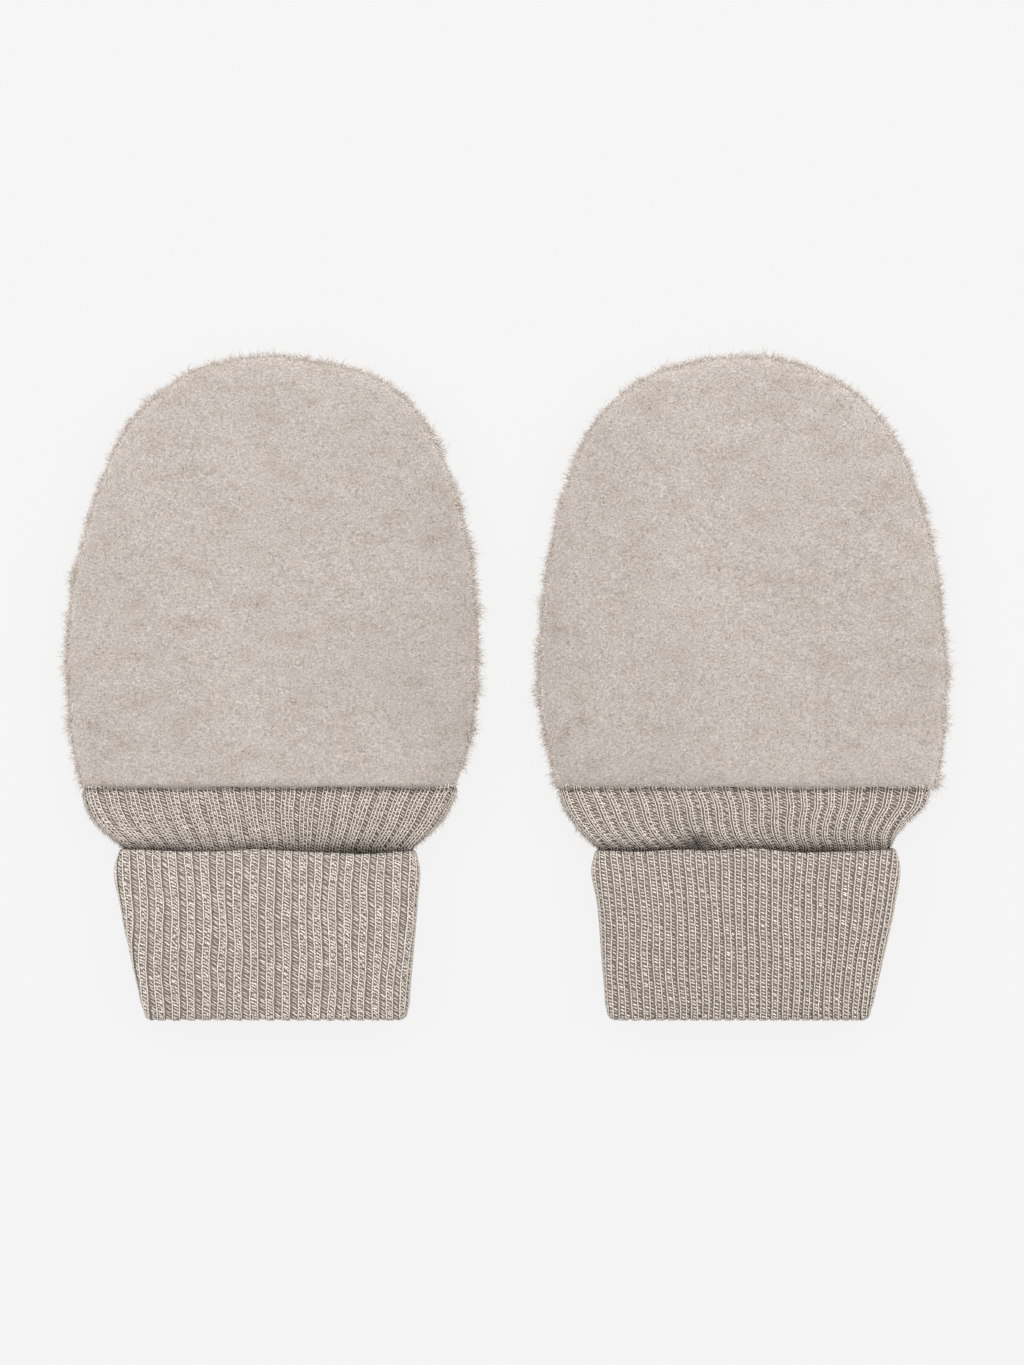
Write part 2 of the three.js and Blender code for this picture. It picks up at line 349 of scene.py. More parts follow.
def ramp(tree, value, stops):
    """A colour ramp with stops of (position, colour)."""
    node = tree.nodes.new("ShaderNodeValToRGB")
    points = node.color_ramp.elements
    while len(points) < len(stops):
        points.new(0.5)
    for point, (position, colour) in zip(points, stops):
        point.position = position
        point.color = (*colour, 1.0)
    tree.links.new(value, node.inputs["Fac"])
    return node.outputs["Color"]


def multiply(tree, first, second):
    """The product of two colours."""
    node = tree.nodes.new("ShaderNodeMix")
    node.data_type = "RGBA"
    node.blend_type = "MULTIPLY"
    node.inputs["Factor"].default_value = 1.0
    tree.links.new(first, node.inputs["A"])
    tree.links.new(second, node.inputs["B"])
    return node.outputs["Result"]


def tone_of(tree):
    node = tree.nodes.new("ShaderNodeAttribute")
    node.attribute_name = "tone"
    return node.outputs["Fac"]


def warm_tone(tree):
    """The tone as a colour that turns browner as it gets darker."""
    tone = tone_of(tree)
    colour = tree.nodes.new("ShaderNodeCombineColor")
    tree.links.new(tone, colour.inputs["Red"])
    for channel, power in (("Green", 1.04), ("Blue", 1.09)):
        raised = tree.nodes.new("ShaderNodeMath")
        raised.operation = "POWER"
        tree.links.new(tone, raised.inputs[0])
        raised.inputs[1].default_value = power
        tree.links.new(raised.outputs[0], colour.inputs[channel])
    return colour.outputs["Color"]


def place_of(tree):
    return tree.nodes.new("ShaderNodeTexCoord").outputs["Object"]


def bump(tree, shader, height, strength, distance):
    node = tree.nodes.new("ShaderNodeBump")
    node.inputs["Strength"].default_value = strength
    node.inputs["Distance"].default_value = distance
    tree.links.new(height, node.inputs["Height"])
    tree.links.new(node.outputs["Normal"], shader.inputs["Normal"])


def grey(value):
    return (value, value, value)


def fleece_material():
    """Brushed wool: mottled in soft warm patches, with a fine grain of crossing fibres."""
    material, tree, shader = node_tree("brushed_fleece")
    where = place_of(tree)
    combed = tree.nodes.new("ShaderNodeMapping")
    combed.inputs["Rotation"].default_value = (0, 0, math.radians(-12))
    combed.inputs["Scale"].default_value = (0.55, 1.0, 1.0)
    tree.links.new(where, combed.inputs["Vector"])
    patches = ramp(
        tree,
        noise(tree, combed.outputs["Vector"], scale=230, detail=4.0, roughness=0.65),
        [
            (0.32, (0.494, 0.448, 0.412)),
            (0.52, (0.476, 0.429, 0.390)),
            (0.68, (0.436, 0.384, 0.338)),
        ],
    )
    grained = patches
    for turn, stretch, reach in ((0, 1.0, 0.26), (35, 0.55, 0.10), (-60, 0.55, 0.10)):
        laid = tree.nodes.new("ShaderNodeMapping")
        laid.inputs["Rotation"].default_value = (0, 0, math.radians(turn))
        laid.inputs["Scale"].default_value = (stretch, 1.0, 1.0)
        tree.links.new(where, laid.inputs["Vector"])
        grain = noise(tree, laid.outputs["Vector"], scale=2900)
        shades = ramp(tree, grain, [(0.3, grey(1 - reach)), (0.7, grey(1 + reach))])
        grained = multiply(tree, grained, shades)
    spots = noise(tree, where, scale=1900)
    specks = ramp(tree, spots, [(0.31, grey(0.70)), (0.38, grey(1.0))])
    toned = multiply(tree, multiply(tree, grained, specks), tone_of(tree))
    tree.links.new(toned, shader.inputs["Base Color"])
    shader.inputs["Roughness"].default_value = 0.95
    shader.inputs["Specular IOR Level"].default_value = 0.15
    shader.inputs["Sheen Weight"].default_value = 0.12
    shader.inputs["Sheen Roughness"].default_value = 0.6
    bump(tree, shader, grain, strength=0.5, distance=0.12 * MM)
    return material


def rib_material():
    """Fine wool yarn: uneven along its length, with a grain of plies."""
    material, tree, shader = node_tree("rib_yarn")
    where = place_of(tree)
    yarn = ramp(
        tree,
        noise(tree, where, scale=900, detail=3.0),
        [(0.32, (0.680, 0.612, 0.548)), (0.68, (0.785, 0.712, 0.645))],
    )
    plies = noise(tree, where, scale=3000)
    grain = ramp(tree, plies, [(0.3, grey(0.80)), (0.7, grey(1.18))])
    toned = multiply(tree, multiply(tree, yarn, grain), warm_tone(tree))
    tree.links.new(toned, shader.inputs["Base Color"])
    shader.inputs["Roughness"].default_value = 0.9
    shader.inputs["Specular IOR Level"].default_value = 0.2
    shader.inputs["Sheen Weight"].default_value = 0.04
    shader.inputs["Sheen Roughness"].default_value = 0.6
    bump(tree, shader, noise(tree, where, scale=5200), strength=0.35, distance=0.05 * MM)
    return material


FLEECE = fleece_material()
RIB = rib_material()


# The fleece hand parts


def eased(line, reach):
    """The line with its bends spread over `reach` points to either side."""
    for _ in range(2):
        before = 2 * line[:1] - line[reach:0:-1]
        after = 2 * line[-1:] - line[-2 : -reach - 2 : -1]
        total = np.cumsum(np.concatenate([np.zeros((1, 2)), before, line, after]), 0)
        line = (total[2 * reach + 1 :] - total[: -2 * reach - 1]) / (2 * reach + 1)
    return line


class Hand:
    """The form of one mitten's hand part, from the outline and thickness of its solids."""

    def __init__(self, side):
        rows = sections(side + "_front")
        corners = np.concatenate([rows[:, [1, 0]], rows[::-1][:, [2, 0]]])
        steps = np.linalg.norm(np.diff(corners, axis=0), axis=1)
        way = np.concatenate([[0], np.cumsum(steps)])
        fine = np.linspace(0, way[-1], 3000)
        line = np.stack([smooth(fine, way, corners[:, k]) for k in (0, 1)], -1)
        line = eased(line, int(BEND_REACH / (fine[1] - fine[0])))
        inward = unit(np.gradient(line, axis=0)) @ np.array([[0, -1], [1, 0]])
        height, width = ARCH_WAVES
        uneven = height * waves(line, width, seed=11 if side == "left" else 12)
        self.arch = line + inward * (NAP_REACH + uneven)[:, None]
        self.seam = rows[0, 0]
        self.centre = np.array([line[:, 0].mean(), self.seam + CENTRE_UP])
        self.lip = LIP_ROUND[side]
        self.tree = kdtree.KDTree(len(self.arch))
        for i, (x, y) in enumerate(self.arch):
            self.tree.insert((x, y, 0), i)
        self.tree.balance()

    def inset(self, points):
        """How far inside the arch each point is."""
        flat = points.reshape(-1, 2)
        found = np.array([self.tree.find((x, y, 0))[2] for x, y in flat])
        return found.reshape(points.shape[:-1])

    def rise(self, points, reach):
        """How far the outer face lies from the mid-plane."""
        left = 1 - np.clip(self.inset(points) / reach, 0, 1)
        arch = (1 - left**ROUND_POWER) ** (1 / ROUND_POWER)
        from_seam = np.clip((points[..., 1] - self.seam) / self.lip, 0, 1)
        lip = 1 - LIP_SHARE * (1 - np.sqrt(1 - (1 - from_seam) ** 2))
        return EDGE_HALF + (MIDDLE - EDGE_HALF) * arch * lip

    def shade(self, points):
        """The cloth's tone: soft clouds of random tone, a painted light rim at the outline, where
        the edge turns down into shade, and painted shade beside the pair's middle.
        """
        clouds = 0.02 * waves(points[:, :2], 16 * MM, seed=32)
        inner = 1 if self.centre[0] < 0 else -1
        reach = inner * (points[:, 0] - self.centre[0]) / (38 * MM)
        inset = self.inset(points[:, :2])
        # Painted light: lighter near the outline, where the edge turns down into shade
        rim = sum(paler * np.exp(-inset / width) for paler, width in RIM_PAINTED_LIGHT)
        # Painted shade: darker towards the pair's middle
        return 1 + clouds + rim - 0.07 * np.clip(reach, 0, 1) ** 2

    def face(self, points, front):
        """Points of the plane, lifted to the outer face of the front or the back."""
        swell = 0
        for seed, (height, width) in ((21, SWELL_WAVES), (22, DIMPLE_WAVES)):
            swell = swell + height * waves(points, width, seed)
        if front:
            z = MIDDLE + self.rise(points, FRONT_ROUND)
            z = z + swell * np.clip((z - MIDDLE) / (2 * MM), 0, 1)
        else:
            z = MIDDLE - self.rise(points, BACK_ROUND)
            z = np.maximum(z + 0.5 * np.abs(swell), 0.1 * MM)
        return np.concatenate([points, z[..., None]], -1)

    def loop(self, count, seam_count):
        """Points round the outline: over the arch, then back along the straight seam."""
        arch = self.arch[np.linspace(0, len(self.arch) - 1, count).astype(int)]
        share = np.linspace(0, 1, seam_count + 2)[1:-1, None]
        straight = self.arch[-1] * (1 - share) + self.arch[0] * share
        height, width = SEAM_WAVES
        straight[:, 1] = self.seam - OVERHANG + height * waves(straight[:, :1], width, seed=31)
        return np.concatenate([arch, straight])


def ring_shares(first, growth, widest, whole):
    """Shares of the way from the outline to the middle, close together at the outline."""
    ways = [0.0]
    step = first
    while ways[-1] + step < whole - widest:
        ways.append(ways[-1] + step)
        step = min(step * growth, widest)
    return np.array(ways + [whole]) / whole


def fleece_shell(hand, front, spacing):
    """One panel of cloth: rings of points from its turned-in edge to its middle."""
    loop = hand.loop(int(ARCH_LENGTH / spacing), int(SEAM_LENGTH / spacing))
    shares = ring_shares(EDGE_SPACING, RING_GROWTH, spacing, CENTRE_UP)
    flat = loop[None] + (hand.centre - loop)[None] * shares[:-1, None, None]
    rings = hand.face(flat, front)
    tucked = hand.face(loop[None] + (hand.centre - loop)[None] * TUCK, front)
    tucked[..., 2] = MIDDLE + (EDGE_HALF if front else -EDGE_HALF)
    points = np.concatenate([tucked, rings]).reshape(-1, 3)
    middle = hand.face(hand.centre[None], front)
    count = len(loop)
    faces = grid_faces(len(rings) + 1, count, True)
    end = len(points) - count + np.arange(count)
    fan = np.stack([end, np.roll(end, -1), np.full(count, len(points))], -1)
    faces = np.concatenate([faces, np.concatenate([fan, fan[:, 2:]], -1)])
    points = np.concatenate([points, middle])
    if not front:
        faces = faces[:, ::-1]
    return points, faces


def flat_size(points):
    """The cut's width and length, and its area, from the loop of its outline."""
    x, y = points[:, 0], points[:, 1]
    area = abs(np.dot(x, np.roll(y, 1)) - np.dot(y, np.roll(x, 1))) / 2
    return (float(np.ptp(x)), float(np.ptp(y))), float(area)


def spread_over(hand, count, draw):
    """Random places inside the outline."""
    low = hand.arch.min(0)
    high = hand.arch.max(0)
    found = draw.uniform(low, high, (3 * count, 2))
    nearest = [hand.tree.find((x, y, 0))[0] for x, y in found]
    away = found - np.array([(p.x, p.y) for p in nearest])
    inside = (away * (hand.centre - found)).sum(-1) > 0
    found = found[inside & (found[:, 1] > hand.seam + 0.2 * MM)]
    return found[:count]


def hairs(roots, normals, headings, lengths, lifts, curls, widths, draw):
    """Thin curling ribbons that start at the roots. Returns their points and faces."""
    count = len(roots)
    rings = len(TAPER)
    side = unit(np.cross(normals, headings))
    ahead = unit(np.cross(side, normals))
    turn = np.zeros(count)
    point = roots - normals * 0.15 * MM
    path = [point]
    for k in range(rings - 1):
        turn = turn + curls * draw.normal(0.6, 0.8, count)
        lift = lifts * (1 - k)
        flat = ahead * np.cos(turn)[:, None] + side * np.sin(turn)[:, None]
        step = flat * np.cos(lift)[:, None] + normals * np.sin(lift)[:, None]
        point = point + step * (lengths / (rings - 1))[:, None]
        path.append(point)
    path = np.stack(path, 1)
    roll = draw.normal(0, 0.5, count)[:, None, None]
    across = unit(np.cross(along(path), normals[:, None]))
    across = across * np.cos(roll) + normals[:, None] * np.sin(roll)
    width = widths[:, None, None] * TAPER[None, :, None] / 2
    points = np.stack([path - across * width, path + across * width], 2)
    return points.reshape(-1, 3), strip_faces(count, rings, 2)


def nap(name, hand, front, count, seed):
    """Fibres that lie over one panel, in locks that share a direction."""
    draw = np.random.default_rng(seed)
    flat = spread_over(hand, count, draw)
    count = len(flat)
    roots = hand.face(flat, front)
    step = 0.4 * MM
    slope_x = hand.face(flat + [step, 0], front)[:, 2] - roots[:, 2]
    slope_y = hand.face(flat + [0, step], front)[:, 2] - roots[:, 2]
    normals = unit(np.stack([-slope_x, -slope_y, np.full(count, step)], -1))
    if not front:
        normals = -normals
    angle = 3 * waves(flat, 7 * MM, seed + 1) + draw.normal(0, 0.9, count)
    headings = np.stack([np.cos(angle), np.sin(angle), np.zeros(count)], -1)
    points, faces = hairs(
        roots,
        normals,
        headings,
        lengths=draw.uniform(0.8, 2.2, count) * MM,
        lifts=draw.uniform(0.05, 0.3, count),
        curls=draw.normal(0, 0.5, count),
        widths=draw.uniform(0.04, 0.09, count) * MM,
        draw=draw,
    )
    if not front:
        points[:, 2] = np.maximum(points[:, 2], 0)
    tone = np.repeat(draw.normal(1.02, 0.13, count), 2 * len(TAPER))
    return mesh_object(name, points, faces, FLEECE, tone)


def edge_fuzz(name, hand, count, seed):
    """Fibres that stand out round the outline, rooted on both faces beside it."""
    draw = np.random.default_rng(seed)
    pick = draw.integers(0, len(hand.arch), count)
    line = hand.arch[pick]
    tangent = unit(np.gradient(hand.arch, axis=0))[pick]
    outward = tangent @ np.array([[0, 1], [-1, 0]])
    front = draw.random(count) < 0.7
    flat = line - outward * draw.gamma(1.6, 0.28, (count, 1)) * MM
    roots = np.where(front[:, None], hand.face(flat, True), hand.face(flat, False))
    upright = np.where(front, 1.0, -1.0)[:, None] * [0, 0, 1]
    out = np.concatenate([outward, np.zeros((count, 1))], -1)
    lean = draw.normal(0, 0.8, count)[:, None]
    headings = np.concatenate([outward * np.cos(lean) + tangent * np.sin(lean), 0 * lean], -1)
    clump = np.clip(0.95 + 0.25 * waves(line, 1.6 * MM, seed + 1), 0.5, 1.5)
    size = np.where(front, 1, 0.7) * clump
    points, faces = hairs(
        roots,
        unit(upright + 0.4 * out),
        headings,
        lengths=size * np.minimum(draw.gamma(3.5, 0.44, count), 2.8) * MM,
        lifts=draw.normal(0, 0.25, count),
        curls=draw.normal(0, 0.9, count),
        widths=draw.uniform(0.10, 0.19, count) * MM,
        draw=draw,
    )
    points[:, 2] = np.maximum(points[:, 2], 0)
    # Painted light: the fibres round the outline get a lighter tone than the nap, to make up for
    # the shade they lie in beside the steep edge
    tone = np.repeat(draw.normal(1.34, 0.14, count), 2 * len(TAPER))
    return mesh_object(name, points, faces, FLEECE, tone)


def hand_part(side, seed):
    """The front and the back of one hand part, with their nap and the fibres round them."""
    hand = Hand(side)
    front_nap = nap(side + "_front_nap", hand, True, FIBRES["front"], seed)
    back_nap = nap(side + "_back_nap", hand, False, FIBRES["back"], seed + 10)
    fuzz = edge_fuzz(side + "_edge_fuzz", hand, FIBRES["edge"], seed + 20)
    parts = (("front", [front_nap, fuzz], side + "_back"), ("back", [back_nap], "surface"))
    for part, fibres, under in parts:
        name = side + "_" + part
        points, faces = fleece_shell(hand, part == "front", SPACING[part])
        shade = hand.shade(points)
        shell = mesh_object(name + "_fleece", points, faces, FLEECE, shade)
        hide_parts(name)
        size, area = flat_size(hand.loop(400, 100))


# The rib cuffs


def squared(value):
    """Sine or cosine of an angle round an edge that is rounded less than a half circle."""
    return np.sign(value) * np.abs(value) ** (2 / EDGE_POWER)


def edge_arcs():
    """Angles over a quarter of that edge, and the way round it to each, for a radius of 1."""
    angles = np.linspace(0, math.pi / 2, 2000)
    steps = np.hypot(np.diff(squared(np.sin(angles))), np.diff(squared(np.cos(angles))))
    return angles, np.concatenate([[0], np.cumsum(steps)])


EDGE_ANGLES, EDGE_WAYS = edge_arcs()
QUARTER = EDGE_WAYS[-1]


def turn_at(way):
    """Angle from the top of the edge, at a way round it, for a radius of 1."""
    folded = QUARTER - np.abs(QUARTER - way)
    angle = np.interp(folded, EDGE_WAYS, EDGE_ANGLES)
    return np.where(way <= QUARTER, angle, math.pi - angle)


class Knit:
    """A stretch of ribbed tube. It maps (rib, way along the tube, height) to places.

    Rib 0 is in the middle of the upper side, and the way starts under what covers the tube.
    """

    def __init__(self, side, part, rows, path, halves):
        name = side + "_" + part
        self.side = side
        self.part = part
        self.ribs = RIBS[side]
        self.pattern = PATTERNS[name]
        self.leans = LEANS[name]
        self.y_of_rows = rows[:, 0]
        self.centres = (rows[:, 1] + rows[:, 2]) / 2
        self.flats = (rows[:, 2] - rows[:, 1]) / 2 - halves
        self.outline = self.flats + halves
        quarters = self.flats + QUARTER * halves
        self.fullness = (quarters / self.outline).max()
        self.top_quarter = quarters[-1]
        steps = np.linalg.norm(np.diff(path, axis=0), axis=1)
        chord = np.concatenate([[0], np.cumsum(steps)])
        fine = np.linspace(0, chord[-1], 1500)
        self.y_line = smooth(fine, chord, path[:, 0])
        self.half_line = smooth(fine, chord, path[:, 1])
        travelled = np.hypot(np.diff(self.y_line), np.diff(self.half_line))
        self.way = np.concatenate([[0], np.cumsum(travelled)])
        self.length = self.way[-1]
        slope_y = np.gradient(self.y_line, self.way)
        slope_half = np.gradient(self.half_line, self.way)
        size = np.hypot(slope_y, slope_half)
        self.out_half = -slope_y / size
        self.out_y = slope_half / size

    def relief(self, rib, way):
        """How much of the ribs' relief there is: little at the rolled edge and the sides."""
        rolled = 0 if self.part == "band" else np.exp(-((way / ROLL_REACH) ** 3))
        to_side = np.abs((rib % (self.ribs / 2)) - self.ribs / 4)
        return 1 - FLATTENED * np.maximum(rolled, np.exp(-((to_side / SIDE_RIBS) ** 2)))

    def depth(self, rib, way):
        """How far the cloth lies below the top of the ribs."""
        start, end, deepest = self.pattern["recess"]
        off = np.abs((rib - (start + end) / 2 + 0.5) % 1 - 0.5)
        slope = 1 + np.exp((off - (end - start) / 2) / RECESS_SIDE)
        return self.relief(rib, way) * deepest / slope

    def along_ring(self, rib, y, ring):
        """Way round the tube from the middle of the upper side."""
        down = np.clip((self.y_of_rows[-1] - y) / np.ptp(self.y_of_rows), 0, 1)
        share = (2 * rib / self.ribs + 1) % 2 - 1
        across = np.clip(2 * share, -1, 1)
        left, middle, right = self.leans
        bend = (left + right) / 2 - middle
        if self.part == "band":
            ends = self.outline[-1] + (self.outline[0] - self.outline[-1]) * down
            ends = self.fullness * ends
            outline = self.fullness * smooth(y, self.y_of_rows, self.outline)
            front = 2 * (ends + (outline - ends) * across**2)
            start = 0
        else:
            outline = self.top_quarter
            front = 2 * outline
            start = self.centres[-1] - smooth(y, self.y_of_rows, self.centres)
            down = down**0.8
        lean = middle + (right - left) / 2 * across + bend * across**2
        on_top = front * across / 2 + start + lean * down
        left_end = -outline + start + left * down
        right_end = outline + start + right * down
        beyond = np.where(share > 0, share - 0.5, share + 1.5)
        below = right_end + (left_end + ring - right_end) * beyond
        return np.where(np.abs(share) <= 0.5, on_top, below)

    def place(self, rib, way, height):
        """Where points of the tube lie, once it is laid flat with rounded side edges."""
        rib, way, height = np.broadcast_arrays(rib, way, height)
        y = np.interp(way, self.way, self.y_line)
        half = np.interp(way, self.way, self.half_line)
        out_half = np.interp(way, self.way, self.out_half)
        out_y = np.interp(way, self.way, self.out_y)
        centre = smooth(y, self.y_of_rows, self.centres)
        flat = smooth(y, self.y_of_rows, self.flats)
        radius = np.maximum(half, 1e-6)
        run = 2 * flat
        bend = 2 * QUARTER * radius
        ring = 2 * (run + bend)
        wobble = 0
        for wave in RIB_WAVES:
            where = np.stack([rib * wave["per_rib"], y / wave["reach"]], -1)
            wobble = wobble + wave["size"] * waves(where, RIB_WAVE_WIDTH, wave["seed"])
        round_way = (self.along_ring(rib + wobble, y, ring) + flat) % ring
        turned = math.pi / 2 - turn_at((round_way - run) / radius)
        back = round_way - run - bend
        last = -math.pi / 2 - turn_at((back - run) / radius)
        cases = [round_way < run, round_way < run + bend, back < run]
        across = np.select(cases, [round_way - flat, flat, flat - back], -flat)
        straight = 0 * round_way
        angles = [straight + math.pi / 2, turned, straight - math.pi / 2]
        angle = np.select(cases, angles, last)
        reach = half + height * out_half
        x = centre + across + reach * squared(np.cos(angle))
        z = MIDDLE + reach * squared(np.sin(angle))
        if self.part == "turn_up":
            rise, width = ROLL_WAVES
            near_top = np.exp(-((way / (9 * MM)) ** 2))
            y = y + rise * near_top * waves(x[..., None], width, seed=45)
        place = np.stack([x, y + height * out_y, z], -1)
        if self.side == "right":
            place = pucker(place)
        place[..., 2] = np.maximum(place[..., 2], 0.02 * MM)
        return place

    def outward(self, rib, way, height):
        """Unit normals of the cloth."""
        return unit(self.place(rib, way, height + 0.2 * MM) - self.place(rib, way, height))

    def shade(self, places, normals, way):
        """Painted shade on the yarn: darker in the shadow at the seam, in the crease, in the dip,
        down the sides where the cloth faces sideways, and in the turn-up at its upper edge and
        towards the fold.
        """
        # Painted shade: darker where the cloth faces sideways, down the side edges
        sides = 0.45 + 0.55 * np.sqrt(np.abs(normals[..., 2]))
        if self.part == "turn_up":
            # Painted shade in the turn-up: at its rolled upper edge beside the crease, and
            # growing towards the fold
            off = (way - ROLL_SHADE["way"]) / ROLL_SHADE["reach"]
            edge = ROLL_SHADE["dark"] * np.exp(-(off**2))
            return sides * (1.02 - 0.05 * way / (30 * MM) - edge)
        uneven = 1 + 0.25 * waves(places[..., :1], 9 * MM, seed=43)
        off = (self.length - way) / CREASE_SHADE["reach"]
        crease = CREASE_SHADE["dark"] * uneven * np.exp(-(off**2))
        off = (way - SEAM_WAY) / SEAM_SHADOW["reach"]
        seam = SEAM_SHADOW["dark"] * np.exp(-(off**2))
        dip = PUCKER_SHADE * dipping(places) if self.side == "right" else 0
        return BAND_TONE * sides * np.clip(1 - crease, 0.3, 1) * (1 - seam) * (1 - dip)


def dipping(places):
    """How near each place of the upper side is to the dip, from 0 to 1."""
    off = (places[..., :2] - PUCKER) / PUCKER_SIZE
    return np.exp(-(off**2).sum(-1)) * (places[..., 2] > MIDDLE)


def pucker(places):
    """The dip: the cloth sinks, and the ribs draw together towards it."""
    near = dipping(places)
    places[..., 0] -= PUCKER_PULL * near * (places[..., 0] - PUCKER[0])
    places[..., 2] -= PUCKER_DEPTH * near
    return places


def yarn(knit, rib, way, height, radius, tone, corners):
    """Yarns along paths over the knit, as open half tubes whose edges lie in the cloth."""
    centres = knit.place(rib, way, height)
    normals = knit.outward(rib, way, height)
    across = unit(np.cross(along(centres), normals))
    angles = np.radians(corners)
    radius = radius[..., None, None]
    ring = np.cos(angles)[:, None] * across[..., None, :]
    ring = ring + np.sin(angles)[:, None] * normals[..., None, :]
    points = centres[..., None, :] + radius * ring
    points[..., 2] = np.maximum(points[..., 2], 0)
    count, rings, sides = points.shape[:3]
    tones = tone * knit.shade(centres, normals, way)
    tones = np.broadcast_to(tones[..., None], points.shape[:3])
    return points.reshape(-1, 3), strip_faces(count, rings, sides), tones.ravel()


def joined(parts):
    """Several sets of points, faces and tones as one."""
    starts = np.cumsum([0] + [len(part[0]) for part in parts[:-1]])
    faces = [part[1] + start for part, start in zip(parts, starts)]
    return (
        np.concatenate([part[0] for part in parts]),
        np.concatenate(faces),
        np.concatenate([part[2] for part in parts]),
    )


# Corners in degrees round a yarn, and rings along a stroke: where they run across, and down
FINE = {
    "corners": (205, 130, 50, -25),
    "across": np.array([0, 0.3, 0.7, 1.0]),
    "down": np.array([-0.5, -0.24, 0.24, 0.5]),
    "line_rings": 2,
}
COARSE = {
    "corners": (200, 90, -20),
    "across": np.array([0, 0.5, 1.0]),
    "down": np.array([-0.5, 0, 0.5]),
    "line_rings": 1,
}


def lines(knit, ribs, rows, detail, draw):
    """The upright threads along the ribs."""
    parts = []
    for line in knit.pattern["lines"]:
        step = np.arange(len(rows) * detail["line_rings"] + 1) / detail["line_rings"]
        shape = (len(ribs), len(step))
        rib = ribs[:, None] + line["at"] + draw.normal(0, LINE_SPREAD["rib"], shape)
        rib = rib + LINE_WAVE["rib"] * np.sin(2 * math.pi * step)
        way = (rows[0] + step) * knit.pattern["row"] + np.zeros(shape)
        height = -0.25 * YARN + draw.normal(0, LINE_SPREAD["height"], shape) * YARN
        knot = 1 - LINE_WAVE["knot"] * np.cos(2 * math.pi * step)
        radius = YARN * line["thick"] * knot * (1 + draw.normal(0, LINE_SPREAD["radius"], shape))
        tone = line["tone"] * knot * (1 + draw.normal(0, LINE_SPREAD["tone"], shape))
        parts.append(yarn(knit, rib, way, height - radius, radius, tone, detail["corners"]))
    return parts


def strokes(knit, ribs, rows, detail, draw):
    """The slanting loops of the rows."""
    parts = []
    spread = STROKE_SPREAD
    across = detail["across"]
    arc = np.sin(math.pi * across)
    for number, stroke in enumerate(knit.pattern["strokes"]):
        own = rows[rows % stroke["every"] == 0] + stroke["start"]
        each = (len(ribs) * len(own), 1)
        start, end = stroke["across"]
        low, high = stroke["levels"]
        own_rib = np.repeat(ribs, len(own))[:, None] + draw.normal(0, spread["rib"], each)
        own_row = np.tile(own + 0.5, len(ribs))[:, None] + draw.normal(0, spread["row"], each)
        rib = own_rib + start + (end - start) * across
        way = (own_row + stroke["drop"] * detail["down"]) * knit.pattern["row"]
        level = (low + (high - low) * across) * MM * knit.relief(rib, way)
        dip = 1.5 * (1 - arc) + 0.2 + draw.normal(0, spread["height"], each)
        radius = YARN * (0.55 + 0.45 * arc) * (1 + draw.normal(0, spread["radius"], each))
        height = level - YARN * dip - radius
        patches = 1 + 0.08 * waves(np.stack([own_rib, own_row], -1), 2.2, 44 + number)
        tone = stroke["tone"] * (1 + draw.normal(0, spread["tone"], each))
        # Painted shade: each stroke gets darker towards its ends, where it goes down between the
        # stitches; the patches are random tone
        tone = tone * (0.80 + 0.20 * arc) * patches
        parts.append(yarn(knit, rib, way, height, radius, tone, detail["corners"]))
    return parts


def ground(knit):
    """The cloth under the stitches, all round: points and tones in rows. Its tone is painted
    shade, dark as the holes between the stitches are, and darker where the recesses are deeper.
    """
    columns = CLOTH_COLUMNS * knit.ribs
    rows = int(knit.length / CLOTH_ROW)
    way = np.linspace(0, knit.length, rows)[:, None]
    rib = (np.arange(columns) / CLOTH_COLUMNS)[None]
    depth = knit.depth(rib, way)
    points = knit.place(rib, way, -CLOTH_DROP * YARN - 0.8 * depth)
    shade = knit.shade(points, knit.outward(rib, way, 0 * depth), way)
    return points, (CLOTH_PAINTED_SHADE - 0.06 * depth / MM) * shade


def band_path(rows):
    """Rows of (y, half the thickness) down the band, from under the fleece into the crease."""
    half = (rows[:, 4] - rows[:, 3]) / 2
    down = np.stack([rows[:, 0], half], -1)[::-1]
    first = down[0]
    last = down[-1]
    under_fleece = [first + [1.6 * MM, -1.7 * MM], first + [0.4 * MM, -0.7 * MM]]
    into_crease = [last + [-0.3 * MM, -0.5 * MM], last + [-1.6 * MM, -1.3 * MM]]
    return np.concatenate([under_fleece, down[1:-1], into_crease])


def turn_up_path(rows, fold):
    """Rows of (y, half the thickness) down the turn-up.

    They come from under its upper edge, run over it and down, and go round the fold.
    """
    top = rows[-1, 0]
    last = rows[0, 0]
    return np.array(
        [
            (top - 0.9 * MM, MIDDLE - 1.75 * MM),
            (top + 0.35 * MM, MIDDLE - 1.35 * MM),
            (top + 0.75 * MM, MIDDLE - 0.75 * MM),
            (top + 0.3 * MM, MIDDLE - 0.15 * MM),
            (top - 1.2 * MM, MIDDLE),
            (top - 6 * MM, MIDDLE),
            (last + 4 * MM, MIDDLE),
            (last + 0.3 * MM, MIDDLE - 0.05 * MM),
            (fold + 0.55 * MM, MIDDLE - 0.75 * MM),
            (fold, MIDDLE / 2 + 0.1 * MM),
            (fold + 0.55 * MM, 0.75 * MM),
            (last + 0.6 * MM, 0.3 * MM),
            (last + 6 * MM, 0.28 * MM),
        ]
    )


